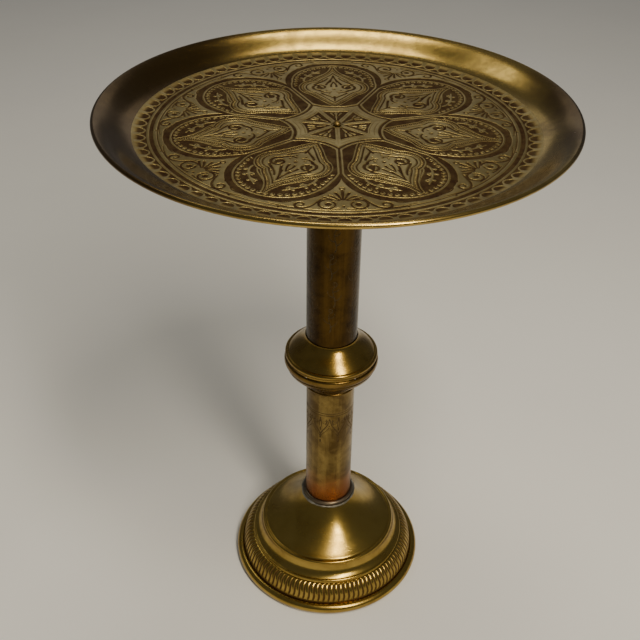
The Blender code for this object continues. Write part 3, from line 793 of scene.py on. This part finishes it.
def make_border_panel():
    """The rising border with its ring of horseshoe punches."""
    inner = FIELD_EDGE * MM
    outer = FLARE_EDGE * MM - 0.1 * MM
    rows = count(30)
    top = [
        (radius, TRAY_FLOOR + border_height(radius))
        for radius in np.linspace(outer, inner, rows + 1)
    ]
    low = [(inner, TRAY_FLOOR - SINK + PANEL_LIFT)] + [
        (radius, TRAY_FLOOR + border_height(radius) - SINK + PANEL_LIFT)
        for radius in np.linspace(inner, outer, 5)[1:]
    ]
    builder = spin_section(top + low, count(28) * PUNCHES)
    made = piece_from(
        builder, "tray_border_panel", ENGRAVED, "tray_top", ["tray"], sharp=70
    )
    found = places(made.data)
    distance, angle = polar(found)
    face = TRAY_FLOOR + border_height(distance)
    cut = engrave_border(distance / MM, angle)
    top_face = found[:, 2] > face - 0.2 * MM
    found[:, 2] = np.where(top_face, face - CUT_DEPTH * cut, found[:, 2])
    put_back(made.data, found, cut=np.where(top_face, cut, 0.0))


def make_edge_wire():
    centre = (TRAY_RADIUS - ROLL_RADIUS, TRAY_RIM - ROLL_RADIUS)
    builder = spin_section(arc(centre, EDGE_WIRE_RADIUS, 0, 330, 11), steps=160)
    piece_from(builder, "tray_edge_wire_round", WIRE, "tray_top", ["tray_edge_wire"])


# ---- knop ------------------------------------------------------------------------------------
def make_knop():
    """Two spun shells that meet at a seam: a dome above, a bead and a bowl below."""
    thickness = 1.1 * MM
    seam_radius = KNOP_RADIUS - 1.6 * MM
    seam = -3.2 * MM
    hole = UPPER_TUBE_HIGH.x + 0.12 * MM
    rise = KNOP_TOP - KNOP_SEAM
    roll_radius = 2.8 * MM
    roll = arc((KNOP_RADIUS - 0.9 * MM - roll_radius, 0.8 * MM), roll_radius, 80, -40, 14)
    width = roll[0][0] - hole
    lip = arc((hole + 0.5 * MM, rise - 0.5 * MM), 0.5 * MM, 170, 50, 6)
    crease = (roll[0][0] - 0.8 * MM, roll[0][1] - 0.3 * MM)
    dome = lip + bezier(
        (hole + 1.1 * MM, rise - 1.2 * MM), (hole + 0.22 * width, 0.66 * rise),
        (hole + 0.66 * width, 0.46 * rise), crease, 24,
    ) + roll + [(seam_radius, seam + 0.1 * MM)]
    section = [(radius, KNOP_SEAM + z) for radius, z in sheet(dome, thickness)]
    piece_from(
        spin_section(section), "knop_upper_dome", SPUN, "pedestal",
        ["knop_upper_shell"], sharp=40,
    )
    drop = KNOP_SEAM - KNOP_FOOT
    neck = LOWER_TUBE_HIGH.x + GAP + thickness
    width = seam_radius - neck
    bead_height = 6.8 * MM
    bead_bulge = 1.6 * MM
    middle = seam - 0.5 * MM - 0.5 * bead_height
    squash = 0.5 * bead_height
    bead = [
        (seam_radius + bead_bulge * max(math.cos(t), 0) ** 0.8, middle + squash * math.sin(t))
        for t in (math.radians(88 - 176 * i / 16) for i in range(17))
    ]
    groove = arc((seam_radius + 0.1 * MM, middle - 0.66 * bead_height), 0.8 * MM, 130, 230, 5)
    bowl = bezier(
        (seam_radius - 0.2 * MM, middle - 0.82 * bead_height),
        (seam_radius - 0.15 * width, -0.60 * drop),
        (neck + 0.20 * width, -0.60 * drop),
        (neck + 0.5 * MM, 2.6 * MM - drop), 26,
    )
    lip = arc((neck, 1.3 * MM - drop), 1.3 * MM, 60, -80, 8)
    section = [
        (radius, KNOP_SEAM + z) for radius, z in sheet(bead + groove + bowl + lip, thickness)
    ]
    # The bowl takes the darker copy of the knop brass, as painted shade.
    piece_from(
        spin_section(section), "knop_lower_bowl", SPUN_PAINTED_SHADE, "pedestal",
        ["knop_lower_shell"], sharp=40,
    )


# ---- tubes -----------------------------------------------------------------------------------
def tube_section(low, high, radius, rows):
    wall = [(radius, z) for z in np.linspace(low, high, rows + 1)]
    return wall + [(radius - TUBE_WALL, high), (radius - TUBE_WALL, low)]


def sprig(cut, around, height, centre, size):
    """One engraved sprig: a bent stem with leaves and a bud, about 20 mm tall at size 1."""
    x = (around - centre[0]) / size
    y = (height - centre[1]) / size
    for points, start_width, end_width in (
        (bezier((0, -9), (3.5, -4), (-3.5, 3), (0.5, 8), 8), 0.9, 0.5),
        (bezier((0.6, -4), (3, -3.5), (5, -1.5), (5.4, 1.0), 5), 0.9, 0.3),
        (bezier((-0.4, -1), (-3, -0.6), (-4.6, 1.4), (-4.4, 4.0), 5), 0.9, 0.3),
        (bezier((0.0, 3.5), (2.4, 3.6), (3.8, 5.2), (3.6, 7.2), 5), 0.8, 0.3),
        (spiral((0.2, 9.8), 2.2, 0.6, -90, 300, 14), 0.8, 0.5),
    ):
        stroke(cut, x, y, points, start_width, end_width)


def engrave_upper_tube(around, height, length):
    """Faint floral sprigs in columns on the upper tube."""
    cut = np.zeros(around.shape)
    columns = rows = 7
    step = 30
    first = UPPER_TUBE_LOW.z / MM + 46
    for i in range(columns):
        for k in range(rows):
            across = (i + 0.22 + 0.08 * math.sin(3 * k + i)) * length / columns
            up = first + step * k + (step // 2 if i % 2 else 0)
            sprig(cut, around, height, (across, up), 1.35)
    return 0.75 * cut


def engrave_lower_tube(around, height, length):
    """Ring lines below the knop and a lambrequin of foliage that hangs from them."""
    cut = np.zeros(around.shape)
    top = KNOP_FOOT / MM - 25
    for up in (top, top - 3.0):
        lay(cut, np.abs(height - up) - 0.45, 0.9)
    points = 8
    pitch = length / points
    x = np.abs((around / pitch) % 1.0 - 0.5) * pitch
    y = top - 4.0 - height
    for chain_points, start_width, end_width in (
        (bezier((0, 26), (1.2, 18), (8.5, 15), (9.6, 3), 9), 1.2, 0.9),
        (bezier((0, 30), (1.0, 22), (9.2, 20), (9.8, 12), 7), 0.7, 0.5),
        (spiral((4.0, 8.0), 3.0, 0.8, -60, 320, 18), 0.9, 0.6),
        (bezier((0, 2), (1.5, 8), (1.2, 14), (0, 20), 6), 1.0, 0.6),
        (bezier((6.4, 4), (7.8, 5.4), (7.4, 8), (5.6, 11.6), 5), 0.9, 0.4),
        ([(0, 33), (0, 38)], 1.6, 0.4),
    ):
        stroke(cut, x, y, chain_points, start_width, end_width)
    return cut


def make_tube(name, node, low, high, material, engrave, columns, rows):
    radius = high.x
    builder = spin_section(tube_section(low.z, high.z, radius, count(rows)), count(columns))
    made = piece_from(builder, name, material, "pedestal", [node], sharp=60)
    found = places(made.data)
    distance, angle = polar(found)
    length = math.tau * radius / MM
    around = (angle / math.tau % 1.0) * length
    show = distance > radius - 0.3 * MM
    cut = np.where(show, engrave(around, found[:, 2] / MM, length), 0.0)
    scale = 1 - TUBE_CUT * cut / radius
    found[:, 0] *= scale
    found[:, 1] *= scale
    put_back(made.data, found, cut=cut)


# ---- the foot --------------------------------------------------------------------------------
CONE_RADIUS = 70.2 * MM
CONE_FOOT = 51.5 * MM
STEP_RADIUS = 85.3 * MM
STEP_HEIGHT = 31.0 * MM
BAND_RADIUS = 97.5 * MM
BAND_FOOT = 12.2 * MM
BASE_ROLL = 5.5 * MM
COLLAR_WIDTH = 2.8 * MM
REEDS = 108
REED_DEPTH = 1.1 * MM          # how far a valley between reeds goes in, and down
REED_DROP = 0.6 * MM


def base_path():
    """Outlines of the foot: cone, bead, cove and lip; the reeded band; the rolled bead."""
    hole = LOWER_TUBE_HIGH.x + GAP
    width = CONE_RADIUS - hole
    drop = BASE_TOP - CONE_FOOT
    cone = bezier(
        (hole + COLLAR_WIDTH, BASE_TOP), (hole + 0.26 * width, BASE_TOP - 0.42 * drop),
        (hole + 0.66 * width, BASE_TOP - 0.84 * drop), (CONE_RADIUS - 0.6 * MM, CONE_FOOT), 34,
    )
    groove = [(CONE_RADIUS - 0.1 * MM, CONE_FOOT - 0.7 * MM)]
    bead_radius = 2.4 * MM
    bead_centre = (CONE_RADIUS + 2.1 * MM, CONE_FOOT - 2.7 * MM)
    bead = arc(bead_centre, bead_radius, 128, -14, 14)
    lip_centre = (STEP_RADIUS - 1.6 * MM, STEP_HEIGHT + 1.9 * MM)
    lip = arc(lip_centre, 1.3 * MM, 112, -48, 12)
    cove = bezier(
        (bead[-1][0] + 0.1 * MM, bead[-1][1] - 0.6 * MM),
        (bead[-1][0] + 0.3 * MM, bead[-1][1] - 7.0 * MM),
        (lip[0][0] - 4.6 * MM, lip[0][1] + 1.6 * MM),
        lip[0], 18,
    )
    drop = STEP_HEIGHT - BAND_FOOT
    width = BAND_RADIUS - STEP_RADIUS
    band = bezier(
        (STEP_RADIUS - 0.3 * MM, STEP_HEIGHT - 0.3 * MM),
        (STEP_RADIUS + 0.45 * width, STEP_HEIGHT - 0.02 * drop),
        (STEP_RADIUS + 0.92 * width, STEP_HEIGHT - 0.42 * drop),
        (BAND_RADIUS, BAND_FOOT), 24,
    )
    valley = [(BAND_RADIUS - 0.2 * MM, BAND_FOOT - 1.0 * MM)]
    roll = arc((BASE_RADIUS - BASE_ROLL, BASE_LIFT + BASE_ROLL), BASE_ROLL, 104, -190, 26)
    return [(hole, BASE_TOP)] + cone + groove + bead + cove[:-1] + lip, band, valley + roll


def make_base():
    """Smooth spun parts of the foot above and below, and the reeded band between them."""
    upper, band, lower = base_path()
    thickness = 1.2 * MM
    piece_from(
        spin_section(sheet(upper + [band[0]], thickness), steps=256), "base_cone", BASE, "pedestal",
        ["base_dome"], sharp=40,
    )
    piece_from(
        spin_section(sheet([band[-1]] + lower, thickness), steps=256), "base_rolled_bead", BASE,
        "pedestal", ["base_dome"], sharp=40,
    )
    builder = spin_section(sheet(band, thickness), count(12) * REEDS)
    made = piece_from(
        builder, "base_reeded_band", BASE, "pedestal", ["base_dome"], sharp=70
    )
    found = places(made.data)
    distance, angle = polar(found)
    line = [(radius / MM, z / MM) for radius, z in band]
    reach, along, total = chain(distance / MM, found[:, 2] / MM, line)
    share = along / total
    show = reach < 0.3
    lean = 0.010 * np.sin(share * math.pi * 2) + 0.035 * share
    wave = np.abs(np.sin((angle + lean) * REEDS / 2))
    ends = np.clip(np.minimum(share - 0.05, 0.93 - share) / 0.06, 0, 1)
    depth = np.where(show, (1 - wave ** 0.6) * ends, 0)
    out = 1 - REED_DEPTH * depth / distance
    found[:, 0] *= out
    found[:, 1] *= out
    found[:, 2] -= REED_DROP * depth
    # Darker in the valleys between reeds and towards the band's lower end, stored as the cut mark.
    valley_darkening = np.maximum(np.clip(1.6 * depth, 0, 1), np.clip((share - 0.90) / 0.06, 0, 1))
    put_back(made.data, found, cut=np.where(show, valley_darkening, 0.0))


def make_collar():
    """Turned collar round the lower tube and the uneven solder that holds it."""
    inside_radius = LOWER_TUBE_HIGH.x + GAP
    height = 4.6 * MM
    foot = BASE_TOP + GAP
    section = [
        (inside_radius, foot),
        (inside_radius + COLLAR_WIDTH - 0.3 * MM, foot),
        (inside_radius + COLLAR_WIDTH, foot + 0.3 * MM),
    ] + bezier(
        (inside_radius + COLLAR_WIDTH, foot + 0.45 * height),
        (inside_radius + COLLAR_WIDTH, foot + 0.8 * height),
        (inside_radius + 0.6 * COLLAR_WIDTH, foot + 0.95 * height),
        (inside_radius + 0.15 * MM, foot + height), 10,
    )
    piece_from(
        spin_section(section, steps=128), "collar_turned", COLLAR, "pedestal",
        ["collar_ring"], sharp=40,
    )
    centre = (inside_radius + COLLAR_WIDTH + 0.9 * MM, foot + 0.2 * MM)
    lump = arc(centre, 1.15 * MM, 0, 345, 23)
    made = piece_from(
        spin_section(lump, steps=220), "solder_run", SOLDER, "pedestal",
        ["solder_bead"], sharp=60,
    )
    found = places(made.data)
    distance, angle = polar(found)
    swell = 1 + 0.22 * np.sin(5 * angle + 1) + 0.16 * np.sin(13 * angle)
    swell += 0.10 * np.sin(29 * angle + 2)
    wider = centre[0] + (distance - centre[0]) * swell
    found[:, 0] *= wider / distance
    found[:, 1] *= wider / distance
    found[:, 2] = centre[1] + (found[:, 2] - centre[1]) * swell
    put_back(made.data, found)


# ---- small parts that keep their shape and get better finishes ---------------------------------
def dress_frame_parts():
    for material, names in (
        (TURNED, ("tray_screw", "tray_screw_washer", "tray_seat", "top_plug", "foot_plug")),
        (TURNED, ("coupling_socket", "coupling_spigot")),
        (FELT, ("tray_spin_washer", "base_felt")),
        (STEEL, ("base_plate", "base_stud", "stud_washer", "stud_nut")),
        (IRON, ("base_weight",)),
    ):
        for name in names:
            slots = frame["nodes"][name].data.materials
            slots.clear()
            slots.append(material)


# ---- floor, light and camera -----------------------------------------------------------------
FLOOR_HALF = 3.2               # half the floor's width in metres
WARM = (1.0, 0.91, 0.70)
LAMP_GOLD = (1.0, 0.89, 0.70)
SOFT_WARM = (1.0, 0.94, 0.78)
NEARLY_WHITE = (1.0, 0.98, 0.92)
CAMERA_PLACE = (0, -0.7159, 0.8394)
CAMERA_PITCH = 0.6239          # downward, in radians, as the two below
CAMERA_YAW = -0.0166
CAMERA_ROLL = 0.0150
CAMERA_LENS = 50.56            # focal length and film width in millimetres
CAMERA_FILM = 36


def make_floor():
    builder = bmesh.new()
    bmesh.ops.create_grid(builder, x_segments=2, y_segments=2, size=FLOOR_HALF)
    mesh = bpy.data.meshes.new("studio_floor")
    builder.to_mesh(mesh)
    builder.free()
    material, tree, shader, place = start_finish("pale_paper")
    tone = fade(tree, noise(tree, place, 3.0), 0.3, 0.7)
    colour = blend(tree, tone, (0.90, 0.90, 0.89), (0.88, 0.88, 0.87))
    tree.links.new(colour, shader.inputs["Base Color"])
    shader.inputs["Roughness"].default_value = 0.9
    mesh.materials.append(material)
    floor = bpy.data.objects.new("studio_floor", mesh)
    bpy.context.scene.collection.objects.link(floor)


def make_light(name, place, aim, width, height, power, colour):
    lamp = bpy.data.lights.new(name, "AREA")
    lamp.shape = "RECTANGLE"
    lamp.size = width
    lamp.size_y = height
    lamp.energy = power
    lamp.color = colour
    made = bpy.data.objects.new(name, lamp)
    made.location = place
    made.rotation_euler = (Vector(aim) - Vector(place)).to_track_quat("-Z", "Y").to_euler()
    bpy.context.scene.collection.objects.link(made)


def make_lights():
    world = bpy.data.worlds.new("studio")
    world.use_nodes = True
    background = world.node_tree.nodes["Background"]
    background.inputs["Color"].default_value = (0.98, 0.98, 0.96, 1)
    background.inputs["Strength"].default_value = 0.12
    bpy.context.scene.world = world
    make_light("overhead", (-0.02, 0.52, 2.1), (-0.04, 0.10, 0.5), 0.60, 0.42, 6.5, WARM)
    make_light("left_back", (-0.95, 1.20, 2.3), (0.1, 0.0, 0.5), 0.60, 0.55, 1.9, SOFT_WARM)
    make_light("front", (0.62, -1.10, 1.90), (0.02, 0, 0.1), 0.36, 1.40, 40, LAMP_GOLD)
    make_light("back", (0.0, 2.7, 1.75), (0, 0, 0.5), 1.1, 0.8, 1.35, NEARLY_WHITE)


def make_camera():
    ahead = math.cos(CAMERA_PITCH)
    sideways, onward = math.sin(CAMERA_YAW), math.cos(CAMERA_YAW)
    forward = Vector((sideways * ahead, onward * ahead, -math.sin(CAMERA_PITCH)))
    level = Vector((onward, -sideways, 0))
    upward = level.cross(forward)
    right = level * math.cos(CAMERA_ROLL) + upward * math.sin(CAMERA_ROLL)
    above = upward * math.cos(CAMERA_ROLL) - level * math.sin(CAMERA_ROLL)
    lens = bpy.data.cameras.new("view")
    lens.lens = CAMERA_LENS
    lens.sensor_width = CAMERA_FILM
    camera = bpy.data.objects.new("view", lens)
    turned = Matrix((right, above, -forward)).transposed()
    camera.rotation_euler = turned.to_euler()
    camera.location = CAMERA_PLACE
    bpy.context.scene.collection.objects.link(camera)
    bpy.context.scene.camera = camera


make_camera()
make_tray_shell()
make_petal_panels()
make_star_panel()
make_border_panel()
make_edge_wire()
make_knop()
make_tube("upper_tube_engraved", "upper_tube", UPPER_TUBE_LOW, UPPER_TUBE_HIGH, TUBE_UPPER,
          engrave_upper_tube, columns=200, rows=270)
make_tube("lower_tube_engraved", "lower_tube", LOWER_TUBE_LOW, LOWER_TUBE_HIGH, TUBE_LOWER,
          engrave_lower_tube, columns=200, rows=220)
make_base()
make_collar()
dress_frame_parts()
make_floor()
make_lights()
